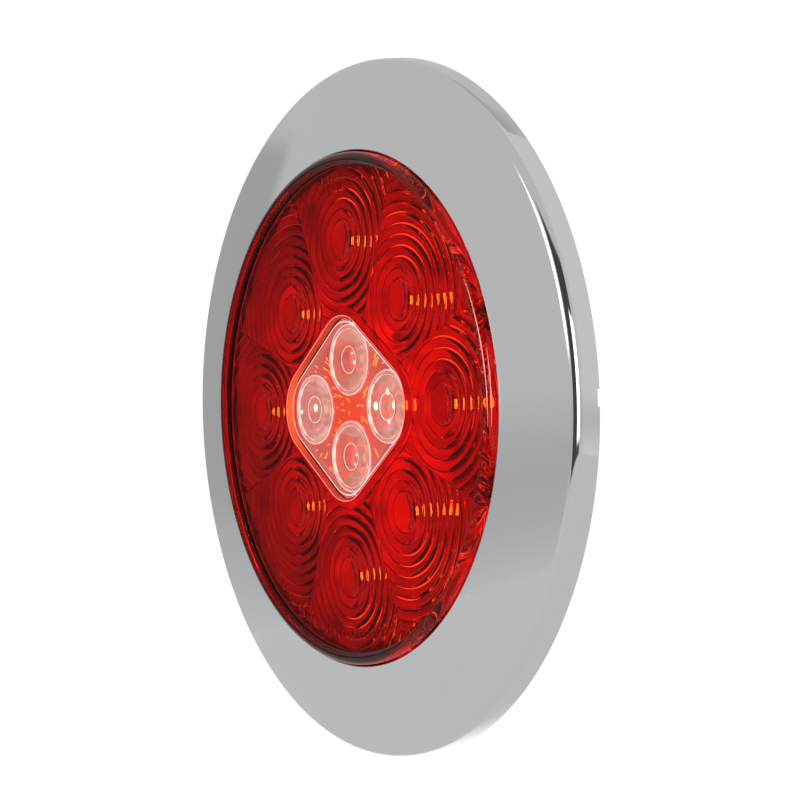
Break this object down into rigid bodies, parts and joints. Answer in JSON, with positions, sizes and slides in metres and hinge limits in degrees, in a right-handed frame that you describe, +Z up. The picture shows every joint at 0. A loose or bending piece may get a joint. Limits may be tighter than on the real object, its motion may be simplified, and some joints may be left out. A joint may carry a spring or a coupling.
{
  "type": "trailer tail light",
  "caption": "Round red lamp with a clear diamond centre window, in a twist-lock chrome trim ring, for mounting in a round panel cut-out.",
  "frame": {"origin": "where the lamp's axis meets the face of the panel that carries it, at the front end of the grommet's neck", "axes": "the lamp looks along -Y, +Y goes back through the panel, +Z is up, +X is to the right seen from the front"},
  "size_m": [0.14, 0.0366, 0.14],
  "materials": {
    "chrome": "bright chrome plate on plastic",
    "ring_plastic": "moulded, fine texture",
    "screw_steel": "zinc-plated",
    "grommet_rubber": "soft matt",
    "housing_plastic": "moulded, fine texture",
    "red_lens": "clear red polycarbonate, polished outside",
    "clear_lens": "clear polycarbonate, polished",
    "clear_optic": "clear acrylic, polished",
    "reflector": "bright moulded",
    "board": "white solder mask",
    "led_red": "emissive when lit",
    "led_white": "emissive when lit",
    "moulded_component": "moulded package",
    "ceramic_component": "glazed",
    "terminal": "plated brass",
    "potting": "poured resin"
  },
  "bodies": {
    "lamp": {"capacitor_red": "moulded_component", "capacitor_white": "moulded_component", "circuit_board": "board", "collimator_bottom": "clear_optic", "collimator_left": "clear_optic", "collimator_right": "clear_optic", "collimator_top": "clear_optic", "driver_red": "moulded_component", "driver_white": "moulded_component", "grommet": "grommet_rubber", "housing": "housing_plastic", "input_diode_backup": "moulded_component", "input_diode_stop_turn": "moulded_component", "input_diode_tail": "moulded_component", "led_red_1": "led_red", "led_red_2": "led_red", "led_red_3": "led_red", "led_red_4": "led_red", "led_red_5": "led_red", "led_red_6": "led_red", "led_red_7": "led_red", "led_red_8": "led_red", "led_white_bottom": "led_white", "led_white_left": "led_white", "led_white_right": "led_white", "led_white_top": "led_white", "lens_red": "red_lens", "lens_window": "clear_lens", "mounting_ring": "ring_plastic", "potting": "potting", "reflector": "reflector", "resistor_1": "ceramic_component", "resistor_2": "ceramic_component", "resistor_3": "ceramic_component", "resistor_4": "ceramic_component", "ring_screws": "screw_steel", "terminal_backup": "terminal", "terminal_backup_ground": "terminal", "terminal_ground": "terminal", "terminal_stop_turn": "terminal", "terminal_tail": "terminal"},
    "bezel": {"bezel": "chrome"}
  },
  "joints": [
    {"name": "bezel_twist", "type": "hinge", "parent": "lamp", "child": "bezel", "pos_m": [0, 0, 0], "axis": [0, -1, 0], "range_deg": [0, 20]}
  ]
}
